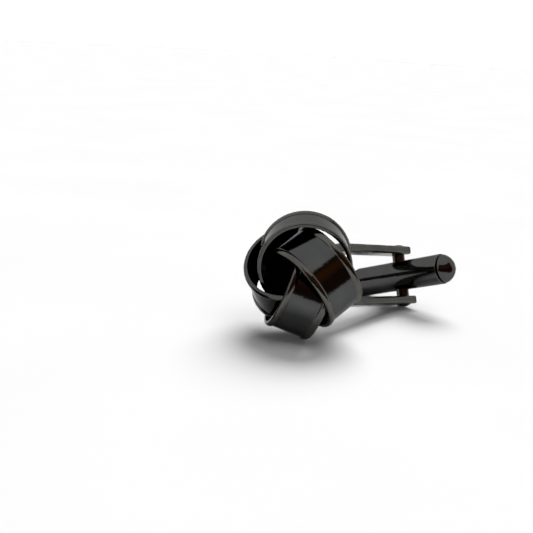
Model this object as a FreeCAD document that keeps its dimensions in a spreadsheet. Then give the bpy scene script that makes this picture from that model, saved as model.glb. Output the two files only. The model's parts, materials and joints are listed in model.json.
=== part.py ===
import FreeCAD, Part
import math
import os
import Sketcher
from FreeCAD import Placement, Rotation, Vector

# Knot cufflink with a swivelling barrel back, lying at rest on a flat surface.
#
# The link frame has its origin in the middle of the knot. Its Z axis runs out of the
# knot's front, its Y axis is along the pivot pin and its X axis is along the barrel.
# Every piece is drawn in the link frame or in a frame of its own placed in it, and one
# common placement then lays the whole link on the surface z = 0.

doc = FreeCAD.newDocument("cufflink")
sheet = doc.addObject("Spreadsheet::Sheet", "dims")

# Millimetres and degrees. A text that starts with = is worked out from the others.
SIZES = [
    # the four interlinked bands of the knot
    ("band_radius", "5.25"),
    ("band_width", "4.88"),
    ("band_wall", "0.5"),
    ("rim_width", "0.78"),
    ("rim_rise", "0.14"),
    ("rim_step", "0.19"),
    ("rim_bevel", "0.06"),
    ("band_tilt", "43.84"),
    ("band_side", "0.634"),
    ("band_along", "1.413"),
    ("band_turn", "50.24"),
    ("notch_gap", "0.04"),
    ("bore_radius", "2.45"),
    ("band_inner", "=band_radius - band_wall"),
    ("band_inner_bevel", "=band_inner + rim_bevel"),
    ("band_face", "=band_radius - rim_step"),
    ("rim_foot", "=band_radius - rim_rise"),
    ("rim_round", "=(rim_width ^ 2 / 4 + rim_rise ^ 2) / (2 * rim_rise)"),
    ("half_width", "=band_width / 2"),
    ("half_width_bevel", "=half_width - rim_bevel"),
    ("rim_line", "=half_width - rim_width"),
    ("notch_inner", "=band_inner - notch_gap"),
    ("notch_outer", "=band_radius + notch_gap"),
    ("notch_half", "=half_width + notch_gap"),
    # the fork: a bridge across the back of the knot and two arms
    ("seat_gap", "0.02"),
    ("fork_width", "2.5"),
    ("arm_thick", "1.0"),
    ("arm_middle", "3.19"),
    ("bridge_front", "4.8"),
    ("bridge_thick", "1.1"),
    ("pivot_back", "19.52"),
    ("arm_tail", "1.15"),
    ("bend_inner", "0.5"),
    ("arm_edge", "0.25"),
    ("arm_inner", "=arm_middle - arm_thick / 2"),
    ("arm_outer", "=arm_middle + arm_thick / 2"),
    ("arm_end", "=pivot_back + arm_tail"),
    ("bridge_back", "=bridge_front + bridge_thick"),
    ("seat_floor", "=bridge_front - seat_gap"),
    ("seat_side", "=fork_width / 2 + seat_gap"),
    ("seat_end", "=arm_outer + seat_gap"),
    ("bend_outer", "=bend_inner + arm_thick"),
    # the pivot pin, riveted into both arms
    ("pin_radius", "0.78"),
    ("tenon_radius", "0.56"),
    ("tenon_gap", "0.01"),
    ("rivet_radius", "0.9"),
    ("rivet_height", "0.28"),
    ("flat_depth", "0.08"),
    ("shoulder", "=arm_inner - seat_gap"),
    ("rivet_seat", "=arm_outer + seat_gap"),
    ("rivet_top", "=rivet_seat + rivet_height"),
    ("tenon_hole", "=tenon_radius + tenon_gap"),
    # the barrel: a tube with two domed caps and two leaf springs in it
    ("barrel_radius", "1.88"),
    ("barrel_wall", "0.5"),
    ("tube_half", "6.26"),
    ("lip_round", "0.15"),
    ("pin_clearance", "0.05"),
    ("cap_gap", "0.02"),
    ("cap_inset", "0.1"),
    ("cap_rise", "1.28"),
    ("groove_width", "0.2"),
    ("groove_depth", "0.26"),
    ("spigot_length", "1.0"),
    ("spring_thick", "0.2"),
    ("spring_width", "1.84"),
    ("spring_play", "0.15"),
    ("corner_gap", "0.05"),
    ("tube_bore", "=barrel_radius - barrel_wall"),
    ("pin_hole", "=pin_radius + pin_clearance"),
    ("cap_radius", "=barrel_radius - cap_inset"),
    ("spigot_radius", "=tube_bore - cap_gap"),
    ("cap_seat", "=tube_half + cap_gap"),
    ("collar_radius", "=cap_radius - groove_depth"),
    ("cap_shoulder", "=cap_seat + groove_width"),
    ("cap_top", "=cap_shoulder + cap_rise"),
    ("spigot_end", "=cap_seat - spigot_length"),
    ("bore_mouth", "=barrel_radius - lip_round"),
    ("lip_line", "=tube_half - lip_round"),
    ("spring_half", "=spigot_end - spring_play"),
    ("spring_side", "=spring_width / 2"),
    ("spring_outer", "=sqrt(spigot_radius ^ 2 - spring_side ^ 2)"),
    ("spring_inner", "=spring_outer - spring_thick"),
    # the pin's waist inside the tube, turned and flatted to suit the springs
    ("waist_radius", "=spring_inner - corner_gap"),
    ("waist_reach", "=sqrt(spigot_radius ^ 2 - waist_radius ^ 2)"),
    ("waist_side", "=waist_radius + corner_gap"),
    ("flat_half", "=waist_radius - flat_depth"),
    # how the whole link lies
    ("lie_pitch", "9.5"),
    ("lie_roll", "21.05"),
]
for row, (alias, text) in enumerate(SIZES, 1):
    sheet.set("A%d" % row, alias)
    sheet.set("B%d" % row, text)
    sheet.setAlias("B%d" % row, alias)
doc.recompute()


def size(name):
    """Value of a sheet size, with its sign turned by a leading minus."""
    if name.startswith("-"):
        return -float(sheet.get(name[1:]))
    return float(sheet.get(name))


def plane(body, role):
    """The body's own origin plane with this role."""
    return [f for f in body.Origin.OriginFeatures if f.Role == role][0]


def new_body(label):
    """An empty body whose label names the piece."""
    body = doc.addObject("PartDesign::Body", label)
    body.Label = label
    return body


def new_sketch(body, role, offset=None):
    """A sketch on one of the body's origin planes, shifted within it by an offset."""
    sketch = body.newObject("Sketcher::SketchObject", body.Label + "_sketch")
    sketch.AttachmentSupport = [(plane(body, role), "")]
    sketch.MapMode = "FlatFace"
    if offset is not None:
        sketch.AttachmentOffset = offset
    return sketch


def hold(sketch, geo, pos, point):
    """Ties a sketch point to the sheet: each coordinate is 0 or a signed size name."""
    for kind, axis, name in (("DistanceX", -2, point[0]), ("DistanceY", -1, point[1])):
        if name == 0:
            sketch.addConstraint(Sketcher.Constraint("PointOnObject", geo, pos, axis))
            continue
        ends = (-1, 1, geo, pos)
        if name.startswith("-"):
            ends = (geo, pos, -1, 1)
        index = sketch.addConstraint(Sketcher.Constraint(kind, *ends, abs(size(name))))
        sketch.setExpression("Constraints[%d]" % index, "dims." + name.lstrip("-"))


def number(name):
    """Start value of a coordinate that is 0 or a signed size name."""
    return 0.0 if name == 0 else size(name)


def outline(sketch, points, arcs=(), bows={}):
    """Closed outline through named points, with bent sides.

    Sides listed in arcs are bent about the vertical axis. Those in bows are bent outward
    to a named radius.
    """
    count = len(points)
    at = [Vector(number(x), number(y), 0) for x, y in points]
    for i in range(count):
        a, b = at[i], at[(i + 1) % count]
        if i in arcs:
            high, low = (b, a) if abs(b.x) < abs(a.x) else (a, b)
            rise = high.y - low.y
            radius = (low.x ** 2 + rise ** 2) / (2 * abs(rise))
            middle = high.y - math.copysign(radius, rise)
            turn = math.atan2(low.x, math.copysign(1, rise) * (low.y - middle)) / 2
            mid = Vector(radius * math.sin(turn), middle + math.copysign(radius, rise) * math.cos(turn), 0)
            sketch.addGeometry(Part.Arc(a, mid, b), False)
        elif i in bows:
            chord = b - a
            radius = size(bows[i])
            swell = radius - math.sqrt(radius ** 2 - chord.Length ** 2 / 4)
            outward = Vector(chord.y, -chord.x, 0).normalize()
            sketch.addGeometry(Part.Arc(a, (a + b) * 0.5 + outward * swell, b), False)
        else:
            sketch.addGeometry(Part.LineSegment(a, b), False)
    starts = []
    for i in range(count):
        bent = i in arcs or i in bows
        turned = bent and sketch.getPoint(i, 1).distanceToPoint(at[i]) > 1e-6
        starts.append((2, 1) if turned else (1, 2))
    for i in range(count):
        follow = (i + 1) % count
        sketch.addConstraint(Sketcher.Constraint("Coincident", i, starts[i][1], follow, starts[follow][0]))
    for i in range(count):
        hold(sketch, i, starts[i][0], points[i])
        if i in arcs:
            sketch.addConstraint(Sketcher.Constraint("PointOnObject", i, 3, -2))
        if i in bows:
            index = sketch.addConstraint(Sketcher.Constraint("Radius", i, size(bows[i])))
            sketch.setExpression("Constraints[%d]" % index, "dims." + bows[i])


def disc(sketch, radius, centre=(0, 0)):
    """A circle of a named radius about a named point."""
    at = Vector(number(centre[0]), number(centre[1]), 0)
    sketch.addGeometry(Part.Circle(at, Vector(0, 0, 1), size(radius)), False)
    hold(sketch, 0, 3, centre)
    index = sketch.addConstraint(Sketcher.Constraint("Radius", 0, size(radius)))
    sketch.setExpression("Constraints[%d]" % index, "dims." + radius)


def spin(body, sketch, kind="PartDesign::Revolution"):
    """Turns a sketch once about its own vertical axis."""
    feature = body.newObject(kind, body.Label + "_spin")
    feature.Profile = sketch
    feature.ReferenceAxis = (sketch, ["V_Axis"])
    feature.Angle = 360.0
    sketch.Visibility = False
    doc.recompute()
    return feature


def drill(body, sketch, both=True):
    """Cuts a sketch right through the body, to one side of its plane or to both."""
    feature = body.newObject("PartDesign::Pocket", body.Label + "_cut")
    feature.Profile = sketch
    feature.Type = "ThroughAll"
    if both:
        feature.SideType = "Symmetric"
    sketch.Visibility = False
    doc.recompute()
    return feature


def soften(body, pick, name):
    """Rounds, by a named size, the edges of the body's last feature that pick chooses by their box."""
    last = body.Tip
    edges = ["Edge%d" % n for n, e in enumerate(last.Shape.Edges, 1) if pick(e.BoundBox)]
    feature = body.newObject("PartDesign::Fillet", body.Label + "_edge")
    feature.Base = (last, edges)
    feature.setExpression("Radius", "dims." + name)
    doc.recompute()
    return feature


# The knot: four equal bands, each a quarter turn on from the one before. A band stands
# off the axis by its two shifts and leans by the tilt, so that its front half passes
# over the band before it and its rear half runs through the band after it. Its rear
# rim is notched where that next band's wall passes, and the four are soldered there.


def band_place(turn):
    """Place of one band in the link frame: its own axis is the hoop's axis."""
    middle = Vector(-size("band_side"), size("band_along"), 0)
    lean = Placement(middle, Rotation(Vector(0, 1, 0), size("band_tilt")))
    return Placement(Vector(0, 0, 0), Rotation(Vector(0, 0, 1), turn)).multiply(lean)


BAND_PROFILE = [
    ("band_inner", "-half_width_bevel"),
    ("band_inner_bevel", "-half_width"),
    ("rim_foot", "-half_width"),
    ("rim_foot", "-rim_line"),
    ("band_face", "-rim_line"),
    ("band_face", "rim_line"),
    ("rim_foot", "rim_line"),
    ("rim_foot", "half_width"),
    ("band_inner_bevel", "half_width"),
    ("band_inner", "half_width_bevel"),
]
RIM_BOWS = {2: "rim_round", 6: "rim_round"}
NOTCH_PROFILE = [
    ("notch_inner", "-notch_half"),
    ("notch_outer", "-notch_half"),
    ("notch_outer", "notch_half"),
    ("notch_inner", "notch_half"),
]
QUARTER = 90.0
NEAR = 1e-4
UPRIGHT = Placement(Vector(0, 0, 0), Rotation(Vector(1, 0, 0), 90))

SEAT_PROFILE = [
    ("-seat_side", "-seat_end"),
    ("seat_side", "-seat_end"),
    ("seat_side", "seat_end"),
    ("-seat_side", "seat_end"),
]


def make_band(label, turn):
    """One band: rimmed hoop, notch for the next band, bore and bridge seat at the back."""
    body = new_body(label)
    hoop = new_sketch(body, "XZ_Plane")
    outline(hoop, BAND_PROFILE, bows=RIM_BOWS)
    spin(body, hoop)
    here = band_place(turn)
    following = here.inverse().multiply(band_place(turn - QUARTER))
    notch = new_sketch(body, "XZ_Plane", UPRIGHT.inverse().multiply(following).multiply(UPRIGHT))
    outline(notch, NOTCH_PROFILE)
    spin(body, notch, "PartDesign::Groove")
    bore = new_sketch(body, "XY_Plane", here.inverse())
    disc(bore, "bore_radius")
    drill(body, bore, both=False)
    floor = Placement(Vector(0, 0, -size("seat_floor")), Rotation())
    seat = new_sketch(body, "XY_Plane", here.inverse().multiply(floor))
    outline(seat, SEAT_PROFILE)
    drill(body, seat, both=False)
    return body, here


pieces = []
for index, side in enumerate(("left", "top", "right", "bottom")):
    pieces.append(make_band("knot_band_" + side, size("band_turn") - QUARTER * index))

# The fork: one strip bent to a U. Its bridge is soldered into a seat cut across the
# knot's back and its arms carry the pin.


def make_fork():
    """U-shaped strip with rounded bends and a pin hole through both arms."""
    body = new_body("fork")
    strip = new_sketch(body, "YZ_Plane")
    outline(
        strip,
        [
            ("-arm_outer", "-bridge_front"),
            ("-arm_outer", "-arm_end"),
            ("-arm_inner", "-arm_end"),
            ("-arm_inner", "-bridge_back"),
            ("arm_inner", "-bridge_back"),
            ("arm_inner", "-arm_end"),
            ("arm_outer", "-arm_end"),
            ("arm_outer", "-bridge_front"),
        ],
    )
    pad = body.newObject("PartDesign::Pad", "fork_strip")
    pad.Profile = strip
    pad.SideType = "Symmetric"
    pad.setExpression("Length", "dims.fork_width")
    strip.Visibility = False
    doc.recompute()
    flank = size("fork_width") / 2 - NEAR

    def corner(depth, reach):
        """Chooses the edges along the bends that lie at this depth and this far out."""
        return lambda box: (
            box.XLength > 2 * flank - NEAR
            and abs(box.ZMax + size(depth)) < NEAR
            and abs(max(box.YMax, -box.YMin) - size(reach)) < NEAR
        )

    soften(body, corner("bridge_front", "arm_outer"), "bend_outer")
    soften(body, corner("bridge_back", "arm_inner"), "bend_inner")
    eye = new_sketch(body, "XZ_Plane")
    disc(eye, "tenon_hole", (0, "-pivot_back"))
    drill(body, eye)
    soften(body, lambda box: box.XMin > flank or box.XMax < -flank, "arm_edge")
    return body, Placement()


pieces.append(make_fork())

# The pin: a shank between the arms, a thinner tenon in each arm with its head riveted
# over outside, and a waist in the middle with four shallow flats for the springs to
# click on.


def make_pin():
    """Turned pin along its own Z axis, laid along the link's Y axis at the pivot."""
    body = new_body("pivot_pin")
    turned = new_sketch(body, "XZ_Plane")
    outline(
        turned,
        [
            (0, "-rivet_top"),
            ("rivet_radius", "-rivet_seat"),
            ("tenon_radius", "-rivet_seat"),
            ("tenon_radius", "-shoulder"),
            ("pin_radius", "-shoulder"),
            ("pin_radius", "-waist_reach"),
            ("waist_radius", "-waist_reach"),
            ("waist_radius", "waist_reach"),
            ("pin_radius", "waist_reach"),
            ("pin_radius", "shoulder"),
            ("tenon_radius", "shoulder"),
            ("tenon_radius", "rivet_seat"),
            ("rivet_radius", "rivet_seat"),
            (0, "rivet_top"),
        ],
        arcs=(0, 12),
    )
    spin(body, turned)
    face = new_sketch(body, "XY_Plane")
    outline(
        face,
        [
            ("flat_half", "-waist_side"),
            ("waist_side", "-waist_side"),
            ("waist_side", "waist_side"),
            ("flat_half", "waist_side"),
        ],
    )
    flat = body.newObject("PartDesign::Pocket", "pin_flat")
    flat.Profile = face
    flat.SideType = "Symmetric"
    flat.setExpression("Length", "dims.waist_reach * 2")
    face.Visibility = False
    doc.recompute()
    ring = body.newObject("PartDesign::PolarPattern", "pin_flats")
    ring.Originals = [flat]
    ring.Axis = (face, ["N_Axis"])
    ring.Angle = 360.0
    ring.Occurrences = 4
    body.Tip = ring
    doc.recompute()
    return body, Placement(Vector(0, 0, -size("pivot_back")), Rotation(Vector(1, 0, 0), -90))


pieces.append(make_pin())

# The barrel turns on the pin. It is drawn along its own Z axis, with the pin along its
# own X axis, and laid along the link's X axis.
BARREL = Placement(Vector(0, 0, -size("pivot_back")), Rotation(Vector(1, 1, 1), 120))


def make_tube():
    """Open tube with rounded lips, cross-drilled for the pin."""
    body = new_body("barrel_tube")
    wall = new_sketch(body, "XZ_Plane")
    outline(
        wall,
        [
            ("tube_bore", "-tube_half"),
            ("bore_mouth", "-tube_half"),
            ("barrel_radius", "-lip_line"),
            ("barrel_radius", "lip_line"),
            ("bore_mouth", "tube_half"),
            ("tube_bore", "tube_half"),
        ],
    )
    spin(body, wall)
    cross = new_sketch(body, "YZ_Plane")
    disc(cross, "pin_hole")
    drill(body, cross)
    return body, BARREL


def make_cap(label, flip):
    """Domed cap with a spigot pressed into the tube's bore and a groove beside the tube's lip."""
    body = new_body(label)
    turned = new_sketch(body, "XZ_Plane")
    outline(
        turned,
        [
            (0, "spigot_end"),
            ("spigot_radius", "spigot_end"),
            ("spigot_radius", "cap_seat"),
            ("collar_radius", "cap_seat"),
            ("collar_radius", "cap_shoulder"),
            ("cap_radius", "cap_shoulder"),
            (0, "cap_top"),
        ],
        arcs=(5,),
    )
    spin(body, turned)
    turn = Placement(Vector(0, 0, 0), Rotation(Vector(1, 0, 0), 180 if flip else 0))
    return body, BARREL.multiply(turn)


def make_spring(label, flip):
    """Flat leaf along the tube, wedged by its edges in the bore, just off the pin."""
    body = new_body(label)
    leaf = new_sketch(body, "XY_Plane")
    outline(
        leaf,
        [
            ("-spring_side", "spring_inner"),
            ("spring_side", "spring_inner"),
            ("spring_side", "spring_outer"),
            ("-spring_side", "spring_outer"),
        ],
    )
    pad = body.newObject("PartDesign::Pad", "leaf_strip")
    pad.Profile = leaf
    pad.SideType = "Symmetric"
    pad.setExpression("Length", "dims.spring_half * 2")
    leaf.Visibility = False
    doc.recompute()
    turn = Placement(Vector(0, 0, 0), Rotation(Vector(1, 0, 0), 180 if flip else 0))
    return body, BARREL.multiply(turn)


pieces.append(make_tube())
for end, flip in (("near", False), ("far", True)):
    pieces.append(make_cap("barrel_cap_" + end, flip))
for face, flip in (("front", False), ("back", True)):
    pieces.append(make_spring("detent_spring_" + face, flip))

# Lay the link down: front of the knot toward -Y and lifted by the pitch, the barrel's
# near end lifted by the roll, and the lowest point of all on z = 0 below the middle.
lay = Placement(
    Vector(0, 0, 0),
    Rotation(Vector(1, 0, 0), 90 - size("lie_pitch")).multiply(Rotation(Vector(0, 0, 1), size("lie_roll"))),
)
for body, place in pieces:
    body.Placement = lay.multiply(place)
doc.recompute()
whole = FreeCAD.BoundBox()
for body, place in pieces:
    whole.add(body.Shape.optimalBoundingBox(True))
shift = Vector(-whole.Center.x, -whole.Center.y, -whole.ZMin)
for body, place in pieces:
    body.Placement = Placement(shift, Rotation()).multiply(body.Placement)
doc.recompute()

os.makedirs("parts", exist_ok=True)
for thing in doc.Objects:
    if "Invalid" in thing.State or "Error" in thing.State:
        raise RuntimeError("feature failed: " + thing.Label)
for body, place in pieces:
    shape = body.Shape
    if shape.isNull() or not shape.isValid() or len(shape.Solids) != 1:
        raise RuntimeError("bad solid: " + body.Label)
    shape.exportStep("parts/%s.step" % body.Label)
    print(body.Label, "volume %.2f" % shape.Volume, "box", shape.BoundBox)

pivot = Placement(shift, Rotation()).multiply(lay)
print("pivot", pivot.multVec(Vector(0, 0, -size("pivot_back"))), "axis", lay.multVec(Vector(0, 1, 0)))
print("link axis", lay.multVec(Vector(0, 0, 1)), "barrel axis", lay.multVec(Vector(1, 0, 0)))
print("knot middle", pivot.multVec(Vector(0, 0, 0)))
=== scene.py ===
# %% [markdown]
# # A knot cufflink in polished black plate
#
# This cufflink is a knot of four rimmed hoops, a fork soldered across its back, and a barrel
# that swivels on a pin so that the back can pass a buttonhole. The imported model already fixes
# every size, place and joint. Its solids are made of flat facets, and polished metal shows
# every facet, so this lesson lays smooth surfaces over them and then adds finish, light and
# camera. The first step loads the imported model.

# %% Load the imported model
import json
import math

import bmesh
import bpy
import numpy as np
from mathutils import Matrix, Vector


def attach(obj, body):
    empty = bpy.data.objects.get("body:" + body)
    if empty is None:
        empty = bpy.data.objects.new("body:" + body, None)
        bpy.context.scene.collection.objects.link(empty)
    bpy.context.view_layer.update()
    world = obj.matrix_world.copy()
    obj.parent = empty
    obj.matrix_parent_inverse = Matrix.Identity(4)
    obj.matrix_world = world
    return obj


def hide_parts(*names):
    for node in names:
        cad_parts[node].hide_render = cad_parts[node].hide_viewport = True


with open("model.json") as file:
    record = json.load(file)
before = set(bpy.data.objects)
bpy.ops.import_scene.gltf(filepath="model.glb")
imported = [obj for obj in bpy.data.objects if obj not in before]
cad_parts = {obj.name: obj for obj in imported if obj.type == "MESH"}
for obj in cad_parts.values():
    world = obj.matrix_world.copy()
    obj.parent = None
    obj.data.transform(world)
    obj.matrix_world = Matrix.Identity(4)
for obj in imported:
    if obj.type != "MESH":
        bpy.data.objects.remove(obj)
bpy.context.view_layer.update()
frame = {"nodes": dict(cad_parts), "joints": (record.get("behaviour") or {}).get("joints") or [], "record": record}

# %% [markdown]
# ## The link's own axes
#
# The cufflink lies tilted on the table, so shapes are easier to write in axes of its own: x along
# the barrel, y along the pin and z out of the knot's front, with the origin in the middle of
# the knot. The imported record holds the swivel's axis and the direction of the post. Those two
# give all three axes, and nothing has to be measured or fitted.

# %% Axes from the swivel and the post
MM = 0.001
PIVOT_BACK = 19.52 * MM

swivel = frame["joints"][0]
pin_axis = np.array(swivel["axis"])
pin_axis /= np.linalg.norm(pin_axis)
post = np.array(frame["record"]["mounts"][0]["axis"])
front_axis = -(post - pin_axis * (post @ pin_axis))
front_axis /= np.linalg.norm(front_axis)
barrel_axis = np.cross(pin_axis, front_axis)
link_axes = np.stack([barrel_axis, pin_axis, front_axis])
knot_middle = np.array(swivel["pos_m"]) + PIVOT_BACK * front_axis


def place(x, y, z):
    """Link coordinates to the part's frame: the knot's middle plus x, y and z times the three axes."""
    return knot_middle + np.stack(np.broadcast_arrays(x, y, z), -1) @ link_axes


print("knot middle in mm:", np.round(knot_middle / MM, 3))

# %% [markdown]
# ## From a grid of points to a piece
#
# Every piece here is a grid of points: one direction runs round a profile and the other runs along
# a path or a turn. Quads join neighbours, and a closed direction joins its last row to its first. Two
# more things are worked out with the grid. A UV map holds the lengths along both
# directions in millimetres, for a finish that is to follow the surface. An attribute called
# rub is one on rounded edges, which cloth rubs bright, zero on polished flats and minus
# one on insides, which no polishing wheel can reach: the finish makes them rougher and
# darkens them with painted shade.

# %% Grid helpers
WELD = 1e-8
SHARP_ANGLE = math.radians(38)


def lengths(points, axis, closed):
    """Mean running length along one grid direction, with one more value at the end where it closes."""
    if closed:
        points = np.concatenate([points, np.take(points, [0], axis)], axis)
    steps = np.linalg.norm(np.diff(points, axis=axis), axis=-1).mean(1 - axis)
    return np.concatenate([[0.0], np.cumsum(steps)])


def grid(points, rub, close_rows=False, close_columns=True):
    """Quads and UVs of a grid: corner order is (i, j), (i, j + 1), (i + 1, j + 1), (i + 1, j)."""
    rows, columns = points.shape[:2]
    index = np.arange(rows * columns).reshape(rows, columns)
    down, across = lengths(points, 0, close_rows), lengths(points, 1, close_columns)
    if close_rows:
        index = np.vstack([index, index[:1]])
    if close_columns:
        index = np.hstack([index, index[:, :1]])
    v, u = np.meshgrid(down / MM, across / MM, indexing="ij")

    def corners(a):
        return np.stack([a[:-1, :-1], a[:-1, 1:], a[1:, 1:], a[1:, :-1]], -1)

    uvs = np.stack([corners(u), corners(v)], -1).reshape(-1, 2)
    rub = np.broadcast_to(rub.reshape(rows, -1), (rows, columns)).ravel()
    return points.reshape(-1, 3), corners(index).reshape(-1, 4), uvs, rub


def piece(name, grids, body, node):
    """One object from one or more grids: welded, faces outward, smooth but for true corners."""
    starts = np.cumsum([0] + [len(g[0]) for g in grids[:-1]])
    points = np.concatenate([g[0] for g in grids])
    faces = np.concatenate([g[1] + s for g, s in zip(grids, starts)])
    mesh = bpy.data.meshes.new(name)
    mesh.from_pydata(points.tolist(), [], faces.tolist())
    uv = mesh.uv_layers.new(name="surface")
    uv.data.foreach_set("uv", np.concatenate([g[2] for g in grids]).ravel())
    rub = mesh.attributes.new("rub", "FLOAT", "POINT")
    rub.data.foreach_set("value", np.concatenate([g[3] for g in grids]))
    work = bmesh.new()
    work.from_mesh(mesh)
    bmesh.ops.remove_doubles(work, verts=work.verts, dist=WELD)
    bmesh.ops.recalc_face_normals(work, faces=work.faces)
    open_edges = sum(not e.is_manifold for e in work.edges)
    work.to_mesh(mesh)
    work.free()
    mesh.shade_smooth()
    mesh.set_sharp_from_angle(angle=SHARP_ANGLE)
    obj = bpy.data.objects.new(name, mesh)
    bpy.context.scene.collection.objects.link(obj)
    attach(obj, body)
    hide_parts(node)
    print(name, "faces:", len(mesh.polygons), "open edges:", open_edges)
    return obj


# %% [markdown]
# ## Profiles with rounded corners
#
# Turned, bent and cast metal never has a perfectly sharp edge, and the thin bright line on an edge is
# what makes it look solid. A bevel modifier could round the mesh afterwards, but rounding
# the profile before it is carried along its path costs less and keeps the grid regular. A
# support point beside each arc keeps the flats flat when they are shaded smooth.

# %% Rounded outline
ARC_STEPS = 6
SUPPORT = 0.02 * MM


def rounded(corners, radii, steps=ARC_STEPS):
    """A closed outline with rounded corners, and a mask that is one on the arcs.

    At a corner, unit vectors a and b point to its neighbours. An arc of radius r touches both
    sides at r / tan(half angle) from the corner. Its centre lies r / sin(half angle) along
    a + b, and its points turn evenly from one touch to the other.
    """
    corners, radii = np.array(corners, float), np.array(radii, float)[:, None]
    a, b = np.roll(corners, 1, 0) - corners, np.roll(corners, -1, 0) - corners
    a /= np.linalg.norm(a, axis=1, keepdims=True)
    b /= np.linalg.norm(b, axis=1, keepdims=True)
    half = np.arccos(np.clip((a * b).sum(1, keepdims=True), -1, 1)) / 2
    reach = radii / np.tan(half)
    middle = (a + b) / np.linalg.norm(a + b, axis=1, keepdims=True)
    centre = corners + middle * radii / np.sin(half)
    first, last = corners + a * reach - centre, corners + b * reach - centre
    sweep = (math.pi - 2 * half)[:, None]
    share = np.linspace(0, 1, steps)[None, :, None]
    arc = np.sin((1 - share) * sweep) * first[:, None] + np.sin(share * sweep) * last[:, None]
    arc = centre[:, None] + arc / np.sin(sweep)
    before = (corners + a * (reach + SUPPORT))[:, None]
    after = (corners + b * (reach + SUPPORT))[:, None]
    mask = np.zeros((len(corners), steps + 2))
    mask[:, 1:-1] = 1.0
    return np.concatenate([before, arc, after], 1).reshape(-1, 2), mask.ravel()


print("points for each rounded corner:", ARC_STEPS + 2)

# %% [markdown]
# ## The four bands of the knot
#
# Each band is a hoop: a flat strip with a round bead along both edges, bent round and closed. The
# four are equal. Each leans over by the same tilt, stands off the middle by the same two
# shifts, and is a quarter turn on from the one before, so that it passes over one neighbour and
# through the back wall of the other. The profile is drawn once, gets more points along its flats
# so that no quad is long, and is carried round the hoop.

# %% Band profile
BAND_RADIUS = 5.25 * MM
BAND_WALL, FACE_DROP = 0.5 * MM, 0.19 * MM
BAND_HALF, RIM_WIDTH = 4.88 / 2 * MM, 0.78 * MM
FOOT_DROP, PEAK_RISE = 0.162 * MM, 0.3215 * MM
EDGE_ROUND, FOOT_ROUND = 0.06 * MM, 0.08 * MM
BEAD_ROUND, LINE_ROUND = 0.54 * MM, 0.03 * MM
BAND_ARC_STEPS = 10
BAND_FILL = 0.2 * MM

BAND_INNER = BAND_RADIUS - BAND_WALL
BAND_FACE = BAND_RADIUS - FACE_DROP
RIM_LINE = BAND_HALF - RIM_WIDTH
RIM_MIDDLE = (BAND_HALF + RIM_LINE) / 2
RIM_FOOT = BAND_RADIUS - FOOT_DROP
RIM_PEAK = RIM_FOOT + PEAK_RISE
half_rounds = [EDGE_ROUND, FOOT_ROUND, BEAD_ROUND, LINE_ROUND]

profile, band_rub = rounded(
    [
        (BAND_INNER, -BAND_HALF),
        (RIM_FOOT, -BAND_HALF),
        (RIM_PEAK, -RIM_MIDDLE),
        (BAND_FACE, -RIM_LINE),
        (BAND_FACE, RIM_LINE),
        (RIM_PEAK, RIM_MIDDLE),
        (RIM_FOOT, BAND_HALF),
        (BAND_INNER, BAND_HALF),
    ],
    half_rounds + half_rounds[::-1],
    BAND_ARC_STEPS,
)
# Minus one marks the inner wall as inside: rougher, and darkened with painted shade.
band_rub[profile[:, 0] < BAND_INNER + SUPPORT] = -1.0
rim = profile[(profile[:, 0] >= BAND_FACE) & (profile[:, 1] > 0)]
loop = np.concatenate([profile, profile[:1]])
run = np.concatenate([[0.0], np.cumsum(np.linalg.norm(np.diff(loop, axis=0), axis=1))])
stops = np.union1d(run[:-1], np.arange(0, run[-1], BAND_FILL))
band_rub = np.interp(stops, run[:-1], band_rub)
profile = np.stack([np.interp(stops, run, loop[:, 0]), np.interp(stops, run, loop[:, 1])], -1)
print("band profile points:", len(profile), "crown in mm:", round(profile[:, 0].max() / MM, 3))

# %% [markdown]
# At the back, the knot is bored out so that one can see through it. A hole could be cut with a
# boolean, but that leaves ragged faces which show on polished metal. Instead every point that lies
# inside the bore slides along the hoop's own axis until it meets the bore's wall, so the grid stays
# whole and its edge follows the cut. The edge turns sharply where the cut begins, so the columns stand
# closer together there. Inside the knot, the front edge flares a little and closes a slit.

# %% Bands bored at the back
BAND_TILT = math.radians(43.84)
BAND_SIDE = 0.634 * MM
BAND_ALONG = 1.413 * MM
BAND_TURN = math.radians(50.24)
BORE_RADIUS = 2.45 * MM
BORE_FADE = 0.25 * MM**2
BORE_START, BORE_STEPS = np.radians((302, 320)), 91
HOOP_STEPS = 360
FLARE = 0.34 * MM
FLARE_ANGLE, FLARE_SPAN = math.radians(273), math.radians(38)


def flared(angle, z):
    """Widens the front edge where the hoop runs inside the knot.

    The front half, z above zero, stretches by a share that rises and falls as a squared cosine
    over the flare's span, and that puts the edge out by the flare at its middle.
    """
    swell = np.cos(np.clip((angle - FLARE_ANGLE) / FLARE_SPAN, -1, 1) * math.pi / 2) ** 2
    return z + np.maximum(z, 0) * swell * FLARE / BAND_HALF


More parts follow.
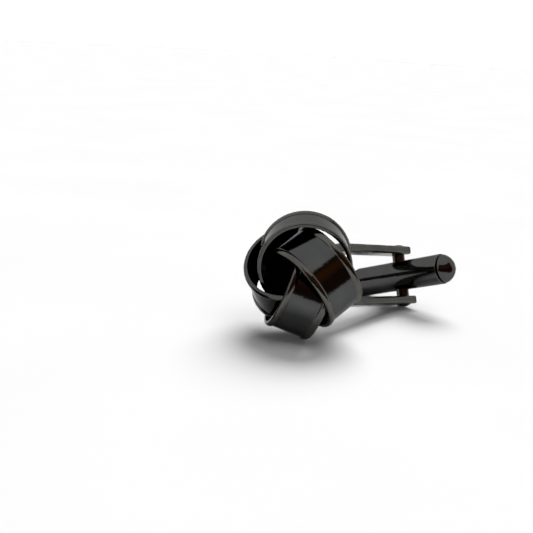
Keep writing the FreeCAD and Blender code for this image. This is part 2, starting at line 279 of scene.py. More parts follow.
def bored(r, angle, z):
    """Cuts the rear edge back to the bore's wall, and marks what was cut as inside: rougher, and darkened with
    painted shade.

    With z free, the hoop's point moves along a line that crosses the bore's axis square on in y
    and meets its wall at z = (h - b) / sin(tilt), where h is the half chord of the bore at
    that y and b is the point's x at z = 0. The bore ends at the knot's middle plane, which the
    line meets at z = r cos(angle) tan(tilt). The rims are cut at the depth of the face. Just
    outside the bore the chord's square is below zero, and h is minus the root of its size, so
    that the cut begins without a step. The radius then drops to the outline's at that z.
    """
    near = np.minimum(r, BAND_FACE)
    x = near * np.cos(angle)
    chord = BORE_RADIUS**2 - (BAND_ALONG + near * np.sin(angle)) ** 2
    h = np.sign(chord) * np.sqrt(np.abs(chord))
    b = x * math.cos(BAND_TILT) - BAND_SIDE
    wall = np.minimum((h - b) / math.sin(BAND_TILT), x * math.tan(BAND_TILT))
    inside = (chord > -BORE_FADE) & (z < wall)
    z = np.where(inside, wall, z)
    outer = np.interp(np.abs(z), rim[:, 1], rim[:, 0])
    return np.where(inside, np.minimum(r, outer), r), z, np.where(inside, -1.0, band_rub[:, None])


def band(turn):
    """The profile carried round the hoop, leant about y, shifted, and turned about the front axis."""
    angle = np.linspace(0, 2 * math.pi, HOOP_STEPS, endpoint=False)
    fine = np.linspace(*BORE_START, BORE_STEPS)
    angle = np.union1d(angle[(angle < fine[0]) | (angle > fine[-1])], fine)[None, :]
    r, z, rub = bored(profile[:, :1], angle, flared(angle, profile[:, 1:]))
    x, y = r * np.cos(angle), r * np.sin(angle) + BAND_ALONG
    leant = x * math.cos(BAND_TILT) + z * math.sin(BAND_TILT) - BAND_SIDE
    rise = z * math.cos(BAND_TILT) - x * math.sin(BAND_TILT)
    across = leant * math.cos(turn) - y * math.sin(turn)
    upward = leant * math.sin(turn) + y * math.cos(turn)
    return grid(place(across, upward, rise), rub, close_rows=True)


bands = []
for quarter, side in enumerate(("left", "top", "right", "bottom")):
    hoop = band(BAND_TURN - quarter * math.pi / 2)
    bands.append(piece("band_" + side, [hoop], "link", "knot_band_" + side))

# %% [markdown]
# ## The fork
#
# The fork is one strip of metal bent to a U. Its bridge lies across the knot's back and its arms
# carry the pin. The strip is a little thicker at the bridge than in the arms, so one centre line with
# one thickness can't make it. Two rails do: the outer and the inner edge of the U are sampled side by
# side, and a rounded section is stretched between them at every step.

# %% Fork rails and section
FORK_HALF = 2.5 / 2 * MM
ARM_INNER, ARM_OUTER = 2.69 * MM, 3.69 * MM
BRIDGE_FRONT, BRIDGE_BACK = 4.8 * MM, 5.9 * MM
ARM_END = 20.67 * MM
BEND_INNER, BEND_OUTER = 0.5 * MM, 1.5 * MM
SECTION_HALF = 0.5 * MM
FORK_EDGE = 0.25 * MM
END_EDGE = 0.1 * MM
BEND_STEPS = 15


def half_rail(reach, depth, bend):
    """One side of the U as (y, z): down the arm, round the bend, to the middle of the bridge."""
    turn = np.linspace(0, math.pi / 2, BEND_STEPS)
    down = np.array([ARM_END - END_EDGE - SUPPORT, depth + bend + SUPPORT])
    arm = np.stack([np.full(len(down), reach), -down], -1)
    arc = np.stack([reach - bend + bend * np.cos(turn), bend * np.sin(turn) - depth - bend], -1)
    bridge = np.array([[reach - bend - SUPPORT, -depth], [0.0, -depth]])
    return np.concatenate([arm, arc, bridge])


def whole_rail(half):
    """A half rail followed by its mirror image, without a second middle point."""
    return np.concatenate([half, half[-2::-1] * [-1, 1]])


outer_rail = whole_rail(half_rail(ARM_OUTER, BRIDGE_FRONT, BEND_OUTER))
inner_rail = whole_rail(half_rail(ARM_INNER, BRIDGE_BACK, BEND_INNER))
section, fork_rub = rounded(
    [
        (-FORK_HALF, -SECTION_HALF),
        (FORK_HALF, -SECTION_HALF),
        (FORK_HALF, SECTION_HALF),
        (-FORK_HALF, SECTION_HALF),
    ],
    np.full(4, FORK_EDGE),
)


def fork():
    """Rows go along the rails and columns round the section; each end is drawn in and closed.

    A point stands at the middle of the rails, plus the section's height, as a share of its
    thickness, times the vector from the inner rail to the outer one, plus the section's width
    along x. At an end, the section draws in along a quarter circle and then closes to a point.
    """
    turn = np.linspace(0, math.pi / 2, ARC_STEPS)
    inset = END_EDGE * (1 - np.sin(turn))
    back = END_EDGE * (1 - np.cos(turn))
    narrow = np.concatenate([[0.0], 1 - inset / FORK_HALF])
    thin = np.concatenate([[0.0], 1 - inset / ((ARM_OUTER - ARM_INNER) / 2)])
    lift = np.concatenate([[0.0], back])
    tip_outer = np.stack([np.full(len(lift), ARM_OUTER), lift - ARM_END], -1)
    tip_inner = np.stack([np.full(len(lift), ARM_INNER), lift - ARM_END], -1)
    outer = np.concatenate([tip_outer, outer_rail, tip_outer[::-1] * [-1, 1]])
    inner = np.concatenate([tip_inner, inner_rail, tip_inner[::-1] * [-1, 1]])
    ones = np.ones(len(outer_rail))
    wide = np.concatenate([narrow, ones, narrow[::-1]])[:, None]
    deep = np.concatenate([thin, ones, thin[::-1]])[:, None, None]
    middle, span = (outer + inner)[:, None] / 2, (outer - inner)[:, None]
    yz = middle + span * deep * section[None, :, 1:] / (2 * SECTION_HALF)
    return place(section[None, :, 0] * wide, yz[..., 0], yz[..., 1])


fork_points = fork()
fork_rub = np.tile(fork_rub, (len(fork_points), 1))
fork_piece = piece("fork_strip", [grid(fork_points, fork_rub)], "link", "fork")

# %% [markdown]
# ## Turned pieces
#
# The pin, the barrel and its caps are turned on a lathe, so each is a profile of radius against
# length, carried once round an axis. The pin runs along y and the barrel along x, both
# through the pivot. A profile that starts and ends on the axis closes into a pole there.

# %% Lathe helper and pivot pin
TURN_STEPS = 128


def turned(radius, along, axis):
    """A profile turned once about the pin ("y") or the barrel ("x"), both through the pivot.

    The two directions across get the radius times the cosine and the sine of the turn.
    """
    angle = np.linspace(0, 2 * math.pi, TURN_STEPS, endpoint=False)[None, :]
    one, two = radius[:, None] * np.cos(angle), radius[:, None] * np.sin(angle)
    along = np.broadcast_to(along[:, None], one.shape)
    if axis == "y":
        return place(one, along, two - PIVOT_BACK)
    return place(along, one, two - PIVOT_BACK)


def dome(radius, foot, rise, steps):
    """Arc from the rim of a dome to its pole: a circle through the rim whose middle lies on the axis.

    Its own radius is the rim's squared plus the rise squared, over twice the rise.
    """
    sphere = (radius**2 + rise**2) / (2 * rise)
    angle = np.linspace(math.asin(radius / sphere), 0, steps)
    return np.stack([sphere * np.sin(angle), foot + rise - sphere + sphere * np.cos(angle)], -1)


PIN_RADIUS, TENON_RADIUS, WAIST_RADIUS = 0.78 * MM, 0.56 * MM, 0.7516 * MM
RIVET_RADIUS, RIVET_RISE, RIVET_STEPS = 0.9 * MM, 0.28 * MM, 14
RIVET_SEAT, SHOULDER, WAIST_REACH = 3.71 * MM, 2.67 * MM, 1.1334 * MM

half_pin = np.concatenate(
    [
        [(WAIST_RADIUS, 0.0), (WAIST_RADIUS, WAIST_REACH), (PIN_RADIUS, WAIST_REACH)],
        [(PIN_RADIUS, SHOULDER), (TENON_RADIUS, SHOULDER), (TENON_RADIUS, RIVET_SEAT)],
        dome(RIVET_RADIUS, RIVET_SEAT, RIVET_RISE, RIVET_STEPS),
    ]
)
pin_profile = np.concatenate([half_pin[::-1] * [1, -1], half_pin[1:]])
pin_points = turned(pin_profile[:, 0], pin_profile[:, 1], "y")
pin_rub = np.zeros(len(pin_profile))
pin = piece("rivet_pin", [grid(pin_points, pin_rub)], "link", "pivot_pin")

# %% [markdown]
# ## The barrel's tube with its cross hole
#
# The tube has rounded lips and a hole drilled across it for the pin. The hole is part of
# the grid: columns run along the tube, and those that would cross the hole start at its edge
# instead of at the tube's middle. The tube is made as two halves that weld together along
# the middle, and the hole's wall joins the outside to the bore.

# %% Barrel tube
BARREL_RADIUS, TUBE_BORE = 1.88 * MM, 1.38 * MM
TUBE_HALF, LIP_ROUND = 6.26 * MM, 0.15 * MM
PIN_HOLE = 0.83 * MM
HOLE_STEPS, FLANK_STEPS, RUN_STEPS = 33, 47, 9
TINY = 1e-9


def round_tube():
    """Angles about the tube, spaced so that they trace the hole's outline evenly on both sides.

    Over the hole, the angle's sine is the sine of an even turn times the hole's radius over the
    barrel's. The flanks between are even.
    """
    turn = np.linspace(-math.pi / 2, math.pi / 2, HOLE_STEPS)
    hole = np.arcsin(PIN_HOLE / BARREL_RADIUS * np.sin(turn))
    flank = np.linspace(hole[-1], math.pi - hole[-1], FLANK_STEPS)[1:-1]
    return np.concatenate([hole, flank, hole + math.pi, flank + math.pi])


def hole_edge(radius, angle):
    """Half width of the hole along the tube at a point of the wall, or zero beside the hole.

    It is the root of the hole's radius squared less z squared, where z = r sin(angle).
    """
    return np.sqrt(np.maximum(PIN_HOLE**2 - (radius * np.sin(angle)) ** 2, 0))


def tube_half(sign):
    """Half of the tube, as rows that go once round its wall.

    They run along the outside, round the lip, across the end, back along the bore and up the
    hole. In the hole, the radius grows evenly from the bore to the outside.
    """
    angle = round_tube()[None, :]
    share = np.linspace(0, 1, RUN_STEPS)[:, None]
    lip = np.linspace(0, math.pi / 2, RUN_STEPS)[:, None]
    flat = np.ones_like(angle)
    even = flat * np.ones_like(share)
    edge = hole_edge(BARREL_RADIUS, angle)
    outside = edge + (TUBE_HALF - LIP_ROUND - SUPPORT - edge) * share
    top = np.minimum(BARREL_RADIUS, PIN_HOLE / np.maximum(np.abs(np.sin(angle)), TINY))
    top = np.maximum(top, TUBE_BORE)
    wall = TUBE_BORE + (top - TUBE_BORE) * share
    bore = hole_edge(TUBE_BORE, angle)
    along = [
        outside,
        (TUBE_HALF - LIP_ROUND + LIP_ROUND * np.sin(lip)) * flat,
        TUBE_HALF * flat,
        bore + (TUBE_HALF - bore) * share[::-1],
        hole_edge(wall, angle),
    ]
    radius = [
        BARREL_RADIUS * even,
        (BARREL_RADIUS - LIP_ROUND + LIP_ROUND * np.cos(lip)) * flat,
        TUBE_BORE * flat,
        TUBE_BORE * even,
        wall,
    ]
    along, radius = sign * np.concatenate(along), np.concatenate(radius)
    # Minus one marks the end, the bore and the hole as insides: rougher, and darkened with painted shade.
    rub = np.repeat([0.0, 1.0, -1.0], [RUN_STEPS, RUN_STEPS, 1 + 2 * RUN_STEPS])
    return grid(place(along, radius * np.cos(angle), radius * np.sin(angle) - PIVOT_BACK), rub)


tube = piece("toggle_tube", [tube_half(1), tube_half(-1)], "barrel", "barrel_tube")

# %% [markdown]
# ## The barrel's caps
#
# A domed cap is pressed into each end of the tube. A narrow collar under the dome leaves a
# groove beside the tube's lip, and the groove shows as a dark ring round the end. Both caps are one
# lathe profile, turned the two ways round.

# %% Caps
CAP_RADIUS, COLLAR_RADIUS, SPIGOT_RADIUS = 1.78 * MM, 1.52 * MM, 1.36 * MM
SPIGOT_END, CAP_SEAT, CAP_SHOULDER = 5.28 * MM, 6.28 * MM, 6.48 * MM
CAP_RISE, CAP_STEPS = 1.28 * MM, 30
EDGE_FLAT, EDGE_STEP, EDGE_RISE = 0.05 * MM, 0.01 * MM, 0.015 * MM

cap_inside = [
    (0.0, SPIGOT_END),
    (SPIGOT_RADIUS, SPIGOT_END),
    (SPIGOT_RADIUS, CAP_SEAT),
    (COLLAR_RADIUS, CAP_SEAT),
    (COLLAR_RADIUS, CAP_SHOULDER),
]
cap_edge = [(CAP_RADIUS - EDGE_FLAT, CAP_SHOULDER), (CAP_RADIUS - EDGE_STEP, CAP_SHOULDER + EDGE_RISE)]
cap_dome = dome(CAP_RADIUS, CAP_SHOULDER, CAP_RISE, CAP_STEPS)[1:]
cap_profile = np.concatenate([cap_inside, cap_edge, cap_dome])
# Minus one marks the cap's hidden inner faces as inside: rougher, and darkened with painted shade.
cap_rub = np.repeat([-1.0, 1.0, 0.0], [len(cap_inside), len(cap_edge), len(cap_dome)])
caps = []
for end, sign in (("near", 1), ("far", -1)):
    cap_points = turned(cap_profile[:, 0], sign * cap_profile[:, 1], "x")
    cap_grid = grid(cap_points, cap_rub)
    caps.append(piece("end_cap_" + end, [cap_grid], "barrel", "barrel_cap_" + end))

# %% [markdown]
# ## Short words for node work
#
# Finishes are made of nodes, and most nodes here are of six kinds. Six functions below each add one
# kind to a tree, fill its inputs and give back its output, so that a finish reads like a
# sum. An input takes either a plain value or the output of another node.

# %% Node helpers
NOISE_DETAIL = 2.0


def fill(tree, socket, value):
    """Links another node's output to an input, or writes a number or colour into it."""
    if isinstance(value, bpy.types.NodeSocket):
        tree.links.new(value, socket)
    else:
        socket.default_value = value


def calc(tree, operation, *values):
    """A Math node, with the values as its inputs in order."""
    node = tree.nodes.new("ShaderNodeMath")
    node.operation = operation
    for socket, value in zip(node.inputs, values):
        fill(tree, socket, value)
    return node.outputs[0]


def mapped(tree, value, ends, results):
    """A Map Range node: the value's two ends become the two results."""
    node = tree.nodes.new("ShaderNodeMapRange")
    fill(tree, node.inputs["Value"], value)
    for name, number in zip(("From Min", "From Max", "To Min", "To Max"), (*ends, *results)):
        node.inputs[name].default_value = number
    return node.outputs["Result"]


def noise(tree, vector, scale, detail=NOISE_DETAIL):
    """A Noise Texture node: soft lumps, about one over the scale wide in the vector's unit."""
    node = tree.nodes.new("ShaderNodeTexNoise")
    fill(tree, node.inputs["Vector"], vector)
    node.inputs["Scale"].default_value = scale
    node.inputs["Detail"].default_value = detail
    return node.outputs["Fac"]


def ramp(tree, value, *stops):
    """A Color Ramp node: each stop is a position from zero to one and a colour."""
    node = tree.nodes.new("ShaderNodeValToRGB")
    fill(tree, node.inputs["Fac"], value)
    elements = node.color_ramp.elements
    for element, (position, colour) in zip(elements, (stops[0], stops[-1])):
        element.position = position
        element.color = (*colour, 1)
    for position, colour in stops[1:-1]:
        elements.new(position).color = (*colour, 1)
    return node.outputs["Color"]


def mix(tree, way, share, first, second):
    """A Mix node for two colours."""
    node = tree.nodes.new("ShaderNodeMix")
    node.data_type = "RGBA"
    node.blend_type = way
    fill(tree, node.inputs["Factor"], share)
    fill(tree, node.inputs["A"], first)
    fill(tree, node.inputs["B"], second)
    return node.outputs["Result"]


def mesh_value(tree, name):
    """An Attribute node, for a value that the mesh carries."""
    node = tree.nodes.new("ShaderNodeAttribute")
    node.attribute_name = name
    return node.outputs["Fac"]


def blank(name):
    """A new material and its node tree."""
    material = bpy.data.materials.new(name)
    material.use_nodes = True
    return material, material.node_tree


print("noise detail unless told otherwise:", NOISE_DETAIL)

# %% [markdown]
# ## A shared finish for black plate
#
# The plate is a thin dark metal film over polished brass. It mirrors like metal, but only about a
# fourteenth of the light comes back, so white shows as dark grey. The film is never even: it is
# a touch cloudy over millimetres, ripples a little, has a fine grain from polishing, and is thinner
# and warmer on edges that rub. Insides are rougher, and their colour is darkened as painted shade. All black
# pieces share these effects, so they are one node group with its own values in each material.

# %% Plate effects as a node group
CLOUD_SCALE, CLOUD_DETAIL = 420.0, 3.0
CLOUD_ENDS, CLOUD_SHADES = (0.3, 0.7), (0.9, 1.1)
GRAIN_SCALE, GRAIN_ROUGH = 6500.0, 0.05
RIPPLE_SCALE, RIPPLE_SHARE = 2500.0, 0.9
WEAR_ROUGH = 0.1
# The first value is the share of colour taken off insides as painted shade; the second is their added roughness.
INSIDE_PAINTED_SHADE, DULL_ROUGH = 0.85, 0.5


def plate_effects():
    """Colour, roughness and height, from three noises and the rub.

    Cloud shades the colour and makes the wear of rubbed edges patchy. Grain and wear add roughness.
    Where rub is below zero, on insides, roughness grows and the colour darkens as painted shade. Height is
    cloud plus a share of ripple.
    """
    tree = bpy.data.node_groups.new("plate_effects", "ShaderNodeTree")
    for name, kind, value in (
        ("Plate", "NodeSocketColor", (0.07, 0.07, 0.072, 1)),
        ("Worn Plate", "NodeSocketColor", (0.1, 0.095, 0.09, 1)),
        ("Wear", "NodeSocketFloat", 0.5),
        ("Polish", "NodeSocketFloat", 0.1),
    ):
        made = tree.interface.new_socket(name=name, in_out="INPUT", socket_type=kind)
        made.default_value = value
    for name, kind in (
        ("Colour", "NodeSocketColor"),
        ("Roughness", "NodeSocketFloat"),
        ("Height", "NodeSocketFloat"),
    ):
        tree.interface.new_socket(name=name, in_out="OUTPUT", socket_type=kind)
    given = tree.nodes.new("NodeGroupInput")
    result = tree.nodes.new("NodeGroupOutput")

    where = tree.nodes.new("ShaderNodeTexCoord").outputs["Object"]
    cloud = noise(tree, where, CLOUD_SCALE, CLOUD_DETAIL)
    grain = noise(tree, where, GRAIN_SCALE)
    ripple = noise(tree, where, RIPPLE_SCALE)

    rub = mesh_value(tree, "rub")
    rubbed = calc(tree, "MAXIMUM", rub, 0.0)
    inside_dull_and_shaded = calc(tree, "MINIMUM", rub, 0.0)
    patchy = calc(tree, "MULTIPLY", rubbed, cloud)
    wear = calc(tree, "MULTIPLY", patchy, given.outputs["Wear"])

    worn = mix(tree, "MIX", wear, given.outputs["Plate"], given.outputs["Worn Plate"])
    shade = mapped(tree, cloud, CLOUD_ENDS, CLOUD_SHADES)
    # Painted shade: where rub is minus one, the colour keeps only about 0.15 of itself.
    deep = calc(tree, "MULTIPLY_ADD", inside_dull_and_shaded, INSIDE_PAINTED_SHADE, shade)
    colour = mix(tree, "MULTIPLY", 1.0, worn, deep)

    haze = calc(tree, "MULTIPLY_ADD", grain, GRAIN_ROUGH, given.outputs["Polish"])
    rough = calc(tree, "MULTIPLY_ADD", wear, WEAR_ROUGH, haze)
    matt = calc(tree, "MULTIPLY_ADD", inside_dull_and_shaded, -DULL_ROUGH, rough)
    height = calc(tree, "MULTIPLY_ADD", ripple, RIPPLE_SHARE, cloud)

    tree.links.new(colour, result.inputs["Colour"])
    tree.links.new(matt, result.inputs["Roughness"])
    tree.links.new(height, result.inputs["Height"])
    return tree


PLATE_EFFECTS = plate_effects()
print("node group:", PLATE_EFFECTS.name, "with", len(PLATE_EFFECTS.nodes), "nodes")

# %% [markdown]
# The material itself holds the shader. Metallic is one. Colour, roughness and a very small bump come
# from the group: the film follows the polished brass, which is never quite flat. Bare metal turns
# white at a grazing angle, and the film doesn't, so the specular tint follows the rub, dark on
# polished faces and almost black inside, where it is painted shade that keeps the insides from
# mirroring.

# %% Plate materials
FILM_DEPTH = 0.01 * MM
# The first tint is painted shade on insides; the second is the film's own tint on polished faces.
INSIDE_SHADE_GLANCE, FLAT_GLANCE = 0.04, 0.55


def plate(name, colour, worn, wear, polish):
    """A polished black plate with its own tone, wear and polish."""
    material, tree = blank(name)
    shader = tree.nodes["Principled BSDF"]
    shader.inputs["Metallic"].default_value = 1.0
    effects = tree.nodes.new("ShaderNodeGroup")
    effects.node_tree = PLATE_EFFECTS
    effects.inputs["Plate"].default_value = (*colour, 1)
    effects.inputs["Worn Plate"].default_value = (*worn, 1)
    effects.inputs["Wear"].default_value = wear
    effects.inputs["Polish"].default_value = polish
    # Painted shade: the specular tint drops to almost black on insides, so they mirror no light.
    glance_and_inside_shade = mapped(tree, mesh_value(tree, "rub"), (-1.0, 0.0), (INSIDE_SHADE_GLANCE, FLAT_GLANCE))
    bump = tree.nodes.new("ShaderNodeBump")
    bump.inputs["Strength"].default_value = 1.0
    bump.inputs["Distance"].default_value = FILM_DEPTH
    tree.links.new(glance_and_inside_shade, shader.inputs["Specular Tint"])
    tree.links.new(effects.outputs["Colour"], shader.inputs["Base Color"])
    tree.links.new(effects.outputs["Roughness"], shader.inputs["Roughness"])
    tree.links.new(effects.outputs["Height"], bump.inputs["Height"])
    tree.links.new(bump.outputs["Normal"], shader.inputs["Normal"])
    return material


knot_plate = plate("knot_black_plate", (0.068, 0.069, 0.069), (0.13, 0.121, 0.102), 0.9, 0.08)
fork_plate = plate("fork_black_plate", (0.07, 0.069, 0.065), (0.125, 0.118, 0.1), 0.8, 0.13)
barrel_plate = plate("barrel_black_plate", (0.07, 0.07, 0.069), (0.1, 0.095, 0.083), 0.8, 0.09)
plated = [(obj, knot_plate) for obj in bands]
plated += [(obj, fork_plate) for obj in (fork_piece, pin)]
plated += [(obj, barrel_plate) for obj in (tube, *caps)]
for obj, material in plated:
    obj.data.materials.append(material)
print("plated pieces:", len(plated))

# %% [markdown]
# ## Spring steel
#
# The two leaf springs sit inside the barrel, where only a cut would show them. Their solids already
# have the right shape, so they stay and only get a finish: rolled strip with fine lines along
# its length. The lines are a noise stretched along the barrel by a Mapping node.

# %% Spring material
LINE_SCALE, LINE_STRETCH = 9000.0, 40.0
STEEL_DARK, STEEL_LIGHT = (0.36, 0.36, 0.37), (0.52, 0.52, 0.53)
STEEL_ROUGH = (0.22, 0.42)


def spring_steel():
    """Bare rolled steel: grey metal, with lines from a noise that is long along the barrel."""
    material, tree = blank("rolled_spring_steel")
    shader = tree.nodes["Principled BSDF"]
    shader.inputs["Metallic"].default_value = 1.0
    where, turn = tree.nodes.new("ShaderNodeTexCoord"), tree.nodes.new("ShaderNodeMapping")
    turn.vector_type = "TEXTURE"
    yaw = math.atan2(barrel_axis[1], barrel_axis[0])
    turn.inputs["Rotation"].default_value = (0.0, -math.asin(barrel_axis[2]), yaw)
    turn.inputs["Scale"].default_value = (LINE_STRETCH, 1.0, 1.0)
    tree.links.new(where.outputs["Object"], turn.inputs["Vector"])
    lines = noise(tree, turn.outputs["Vector"], LINE_SCALE)
    tone = ramp(tree, lines, (0.0, STEEL_DARK), (1.0, STEEL_LIGHT))
    tree.links.new(tone, shader.inputs["Base Color"])
    tree.links.new(mapped(tree, lines, (0.0, 1.0), STEEL_ROUGH), shader.inputs["Roughness"])
    return material


steel = spring_steel()
for side in ("front", "back"):
    spring = frame["nodes"]["detent_spring_" + side]
    spring.data.materials.clear()
    spring.data.materials.append(steel)
print("springs keep their solids, with", steel.name)

# %% [markdown]
# ## Floor
#
# The photograph has a white sweep. A pale floor lit to its own colour is almost white, and a
# little emission that only the camera and mirror rays see lifts it the rest of the way. The
# emission is even, so the shadows stay.

# %% Floor
FLOOR_REACH, FLOOR_STEPS = 1.5, 9
FLOOR_DROP = 0.02 * MM
FLOOR_LIFT = 0.03
FLOOR_SCALE = 30.0
FLOOR_DARK, FLOOR_LIGHT = (0.86,) * 3, (0.9,) * 3


def seen_rays(tree):
    """A value that is one for camera, mirror and transmitted rays, and zero for the rest."""
    path = tree.nodes.new("ShaderNodeLightPath").outputs
    seen = calc(tree, "MAXIMUM", path["Is Camera Ray"], path["Is Glossy Ray"])
    return calc(tree, "MAXIMUM", seen, path["Is Transmission Ray"])


def floor_material():
    """Matt white with faint cloud, plus an even lift for the rays that show it."""
    material, tree = blank("white_sweep")
    tree.nodes.remove(tree.nodes["Principled BSDF"])
    where = tree.nodes.new("ShaderNodeTexCoord").outputs["Object"]
    cloud = noise(tree, where, FLOOR_SCALE)
    matt = tree.nodes.new("ShaderNodeBsdfDiffuse")
    lift = tree.nodes.new("ShaderNodeEmission")
    both = tree.nodes.new("ShaderNodeAddShader")
    tree.links.new(ramp(tree, cloud, (0.0, FLOOR_DARK), (1.0, FLOOR_LIGHT)), matt.inputs["Color"])
    tree.links.new(calc(tree, "MULTIPLY", seen_rays(tree), FLOOR_LIFT), lift.inputs["Strength"])
    tree.links.new(matt.outputs[0], both.inputs[0])
    tree.links.new(lift.outputs[0], both.inputs[1])
    tree.links.new(both.outputs[0], tree.nodes["Material Output"].inputs["Surface"])
    return material


def stage_grid(name, points, material):
    """A plain open grid on the stage, which isn't part of the cufflink."""
    xyz, faces, uvs, _ = grid(points, np.zeros(len(points)), close_columns=False)
    mesh = bpy.data.meshes.new(name)
    mesh.from_pydata(xyz.tolist(), [], faces.tolist())
    uv = mesh.uv_layers.new(name="surface")
    uv.data.foreach_set("uv", uvs.ravel())
    mesh.materials.append(material)
    obj = bpy.data.objects.new(name, mesh)
    bpy.context.scene.collection.objects.link(obj)
    return obj


floor_line = np.linspace(-FLOOR_REACH, FLOOR_REACH, FLOOR_STEPS)
floor_x, floor_y = np.meshgrid(floor_line, floor_line)
floor_z = np.full_like(floor_x, -FLOOR_DROP)
stage_grid("floor", np.stack([floor_x, floor_y, floor_z], -1), floor_material())
print("floor reaches", FLOOR_REACH, "m each way")

# %% [markdown]
# ## Studio light
#
# A polished black surface is only what it mirrors. The reflections in the photograph tell where the
# light was: white from above, behind and the left, and a dark warm room in the gap where the camera
# stands. The world is the white tent. It is fainter for matt surfaces, so that two broad
# lamps can cast the shadow on the floor: a strong one high and behind, and a weak one from the
# right that thins the shadow of the fork.

# %% World and lamps
TENT_FILL = 0.1


def white_tent():
    """World that is white to camera, mirror and transmitted rays and fainter to matt surfaces."""
    world = bpy.data.worlds.new("white_tent")
    bpy.context.scene.world = world
    world.use_nodes = True
    tree = world.node_tree
    strength = mapped(tree, seen_rays(tree), (0.0, 1.0), (TENT_FILL, 1.0))
    tree.links.new(strength, tree.nodes["Background"].inputs["Strength"])
    tree.nodes["Background"].inputs["Color"].default_value = (1.0, 1.0, 1.0, 1.0)


def toward(azimuth, elevation):
    """Unit vector to a point of the studio: azimuth 0 is toward -y and 90 toward +x, in degrees."""
    a, e = math.radians(azimuth), math.radians(elevation)
    return np.array([math.sin(a) * math.cos(e), -math.cos(a) * math.cos(e), math.sin(e)])


def soft_lamp(name, azimuth, elevation, disc, level):
    """Far lamp that fills a disc of the sky. Level is how bright it makes a white card that faces it.

    A matt white card sends back the light that falls on it over pi, so the lamp's strength is pi
    times the level. The wider the disc in degrees, the softer the shadow.
    """
    lamp = bpy.data.lights.new(name, "SUN")
    lamp.energy = level * math.pi
    lamp.angle = math.radians(disc)
    obj = bpy.data.objects.new(name, lamp)
    obj.rotation_mode = "QUATERNION"
    obj.rotation_quaternion = Vector(toward(azimuth, elevation)).to_track_quat("Z", "Y")
    bpy.context.scene.collection.objects.link(obj)
    obj.visible_glossy = False
    print(name, "strength", round(lamp.energy, 2))


white_tent()
soft_lamp("back_lamp", 198, 58, 45, 0.95)
soft_lamp("right_lamp", 80, 60, 40, 0.22)

# %% [markdown]
# The dark room is a curved card on the camera's side. It is hidden from the camera and from matt
# surfaces, and only mirror rays see it. Without it the whole knot would mirror white and look
# flat. Its upper part is a mottled warm brown, its lower part lies on the table, and its borders
# fade out. A second card, small and low on the left, draws the dark line along the barrel.

# %% Dark cards
CARD_REACH = 0.7
CARD_LIFT = 0.3 * MM
CARD_COLUMNS, CARD_ROWS = 33, 17
CARD_STOPS = (0.4, 0.72, 0.93)
CARD_FADE = 0.05
MOTTLE_SCALE, MOTTLE = 9.0, 0.2
LEAST_SLOPE = 1e-3
BLACK, WHITE = (0.0, 0.0, 0.0), (1.0, 1.0, 1.0)


def card_material(name, low, warm, top):
    """Three tones from the bottom up, fading to clear at the borders. It reads the card's share map."""
    material, tree = blank(name)
    tree.nodes.remove(tree.nodes["Principled BSDF"])
    share, parts = tree.nodes.new("ShaderNodeAttribute"), tree.nodes.new("ShaderNodeSeparateXYZ")
    share.attribute_name = "share"
    tree.links.new(share.outputs["Vector"], parts.inputs["Vector"])
    mottle = noise(tree, share.outputs["Vector"], MOTTLE_SCALE)
    mottle = mapped(tree, mottle, (0.0, 1.0), (-MOTTLE, MOTTLE))
    height = calc(tree, "ADD", parts.outputs["Y"], mottle)
    tone = ramp(tree, height, *zip(CARD_STOPS, (low, warm, top)))
    fade = [(0.0, BLACK), (CARD_FADE, WHITE), (1 - CARD_FADE, WHITE), (1.0, BLACK)]
    sideways, upward = (ramp(tree, parts.outputs[axis], *fade) for axis in "XY")
    cover = calc(tree, "MULTIPLY", sideways, upward)
    dark = tree.nodes.new("ShaderNodeEmission")
    clear = tree.nodes.new("ShaderNodeBsdfTransparent")
    mixed = tree.nodes.new("ShaderNodeMixShader")
    tree.links.new(tone, dark.inputs["Color"])
    tree.links.new(cover, mixed.inputs["Fac"])
    tree.links.new(clear.outputs[0], mixed.inputs[1])
    tree.links.new(dark.outputs[0], mixed.inputs[2])
    tree.links.new(mixed.outputs[0], tree.nodes["Material Output"].inputs["Surface"])
    return material


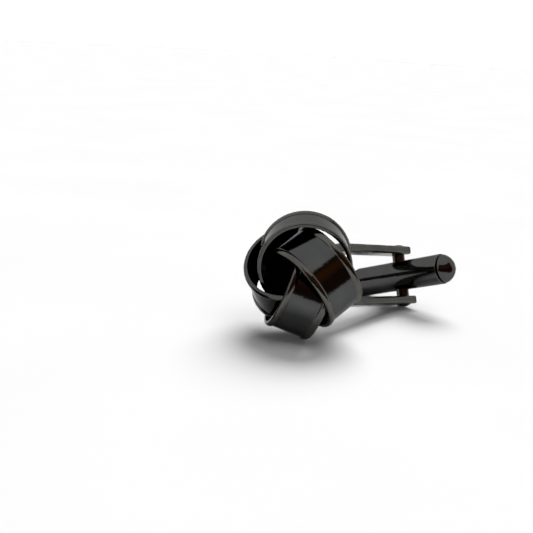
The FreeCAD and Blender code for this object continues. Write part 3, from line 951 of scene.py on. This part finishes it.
def card(name, azimuths, elevations, material):
    """A piece of a sphere round the knot's middle, in degrees, bent flat where it meets the table.

    A point lies at the card's reach from the middle, or nearer: where its line of sight comes
    down to the table, at the middle's height over the sine of the slope.
    """
    azimuth = np.radians(np.linspace(*azimuths, CARD_COLUMNS))[None, :]
    elevation = np.radians(np.linspace(*elevations, CARD_ROWS))[:, None]
    table = (knot_middle[2] - CARD_LIFT) / np.maximum(np.sin(-elevation), LEAST_SLOPE)
    reach = np.minimum(CARD_REACH, table)
    x = reach * np.sin(azimuth) * np.cos(elevation)
    y = -reach * np.cos(azimuth) * np.cos(elevation)
    z = reach * np.sin(elevation)
    obj = stage_grid(name, knot_middle + np.stack(np.broadcast_arrays(x, y, z), -1), material)
    v, u = np.meshgrid(np.linspace(0, 1, CARD_ROWS), np.linspace(0, 1, CARD_COLUMNS), indexing="ij")
    share = obj.data.attributes.new("share", "FLOAT_VECTOR", "POINT")
    share.data.foreach_set("vector", np.stack([u, v, np.zeros_like(u)], -1).ravel())
    obj.visible_camera = False
    obj.visible_diffuse = False
    obj.visible_shadow = False
    print(name, "spans", azimuths, "by", elevations, "degrees")


dark_room = card_material("dark_room", (0.055, 0.025, 0.018), (0.2, 0.07, 0.02), (0.025, 0.018, 0.014))
low_room = card_material("low_room", (0.03, 0.03, 0.03), (0.04, 0.037, 0.034), (0.03, 0.03, 0.03))
card("dark_card", (10, 138), (-10, 49), dark_room)
card("low_card", (308, 350), (-46, 15), low_room)

# %% [markdown]
# ## Camera
#
# The camera stands where the photographer's stood: to the right of the knot's front and a little above.
# Place and lens come from fitting the rims of the knot and the edges of the barrel in the
# photograph, so the picture can be compared with it point by point.

# %% Camera
VIEW_AZIMUTH, VIEW_ELEVATION, VIEW_ROLL = 42.936, 14.981, 3.329
VIEW_PLACE = np.array([59.097, -77.566, 32.356]) * MM
FOCAL_PIXELS, FRAME_PIXELS = 848.04, 533
SENSOR_WIDTH = 36.0
NEAR_LIMIT = 5 * MM

camera_data = bpy.data.cameras.new("camera")
camera_data.sensor_width = SENSOR_WIDTH
camera_data.lens = SENSOR_WIDTH * FOCAL_PIXELS / FRAME_PIXELS
camera_data.clip_start = NEAR_LIMIT
camera = bpy.data.objects.new("camera", camera_data)
back = toward(VIEW_AZIMUTH, VIEW_ELEVATION)
level = np.cross([0, 0, 1], back)
level /= np.linalg.norm(level)
upright = np.cross(back, level)
roll = math.radians(VIEW_ROLL)
right = math.cos(roll) * level + math.sin(roll) * upright
up = np.cross(back, right)
pose = np.eye(4)
pose[:3, :3] = np.stack([right, up, back], 1)
pose[:3, 3] = VIEW_PLACE
camera.matrix_world = Matrix(pose.tolist())
bpy.context.scene.collection.objects.link(camera)
bpy.context.scene.camera = camera
bpy.context.scene.view_settings.view_transform = "Standard"
print("lens", round(camera_data.lens, 2), "mm")
